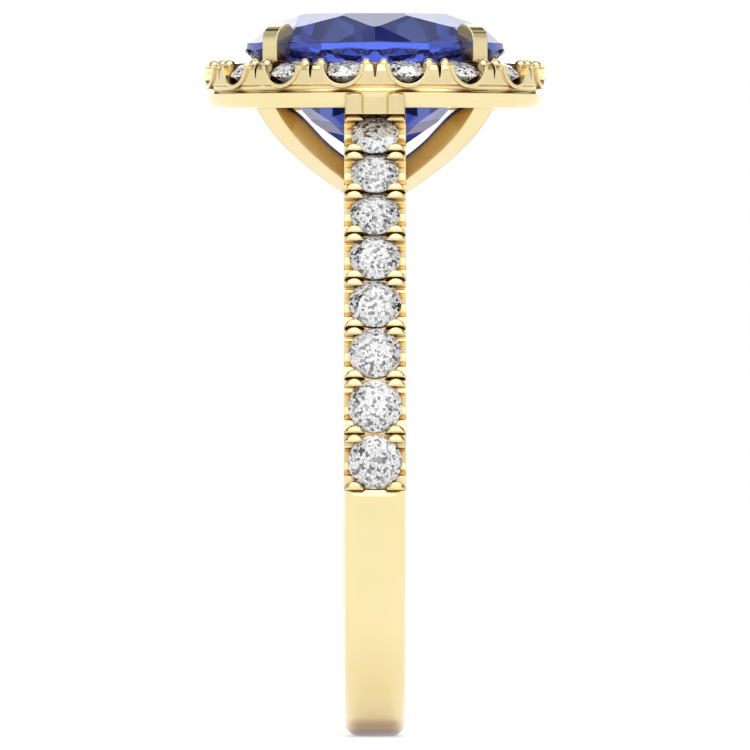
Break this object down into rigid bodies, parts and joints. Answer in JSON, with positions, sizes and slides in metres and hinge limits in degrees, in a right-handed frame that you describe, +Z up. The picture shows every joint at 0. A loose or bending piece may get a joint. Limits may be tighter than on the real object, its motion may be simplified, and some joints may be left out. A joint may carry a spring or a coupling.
{
  "type": "engagement ring",
  "caption": "Halo engagement ring: a plain band with stone-set shoulders holds one large round stone in claws inside a circle of small stones.",
  "frame": {"origin": "centre of the finger hole, in the middle of the band's width", "axes": "+X along the finger hole's axis, +Z up through the head and its large stone, Y across the ring, with the set shoulders on -Y and +Y"},
  "size_m": [0.0118, 0.02, 0.0249],
  "materials": {
    "gold": "polished",
    "clear_stone": "polished",
    "violet_stone": "polished"
  },
  "bodies": {
    "root": {"center_stone": "violet_stone", "claw_wire_1": "gold", "claw_wire_2": "gold", "claw_wire_3": "gold", "claw_wire_4": "gold", "halo_frame": "gold", "halo_stone_01": "clear_stone", "halo_stone_02": "clear_stone", "halo_stone_03": "clear_stone", "halo_stone_04": "clear_stone", "halo_stone_05": "clear_stone", "halo_stone_06": "clear_stone", "halo_stone_07": "clear_stone", "halo_stone_08": "clear_stone", "halo_stone_09": "clear_stone", "halo_stone_10": "clear_stone", "halo_stone_11": "clear_stone", "halo_stone_12": "clear_stone", "halo_stone_13": "clear_stone", "halo_stone_14": "clear_stone", "halo_stone_15": "clear_stone", "halo_stone_16": "clear_stone", "shank": "gold", "shoulder_stone_back_1": "clear_stone", "shoulder_stone_back_2": "clear_stone", "shoulder_stone_back_3": "clear_stone", "shoulder_stone_back_4": "clear_stone", "shoulder_stone_back_5": "clear_stone", "shoulder_stone_back_6": "clear_stone", "shoulder_stone_back_7": "clear_stone", "shoulder_stone_back_8": "clear_stone", "shoulder_stone_front_1": "clear_stone", "shoulder_stone_front_2": "clear_stone", "shoulder_stone_front_3": "clear_stone", "shoulder_stone_front_4": "clear_stone", "shoulder_stone_front_5": "clear_stone", "shoulder_stone_front_6": "clear_stone", "shoulder_stone_front_7": "clear_stone", "shoulder_stone_front_8": "clear_stone"}
  },
  "joints": []
}
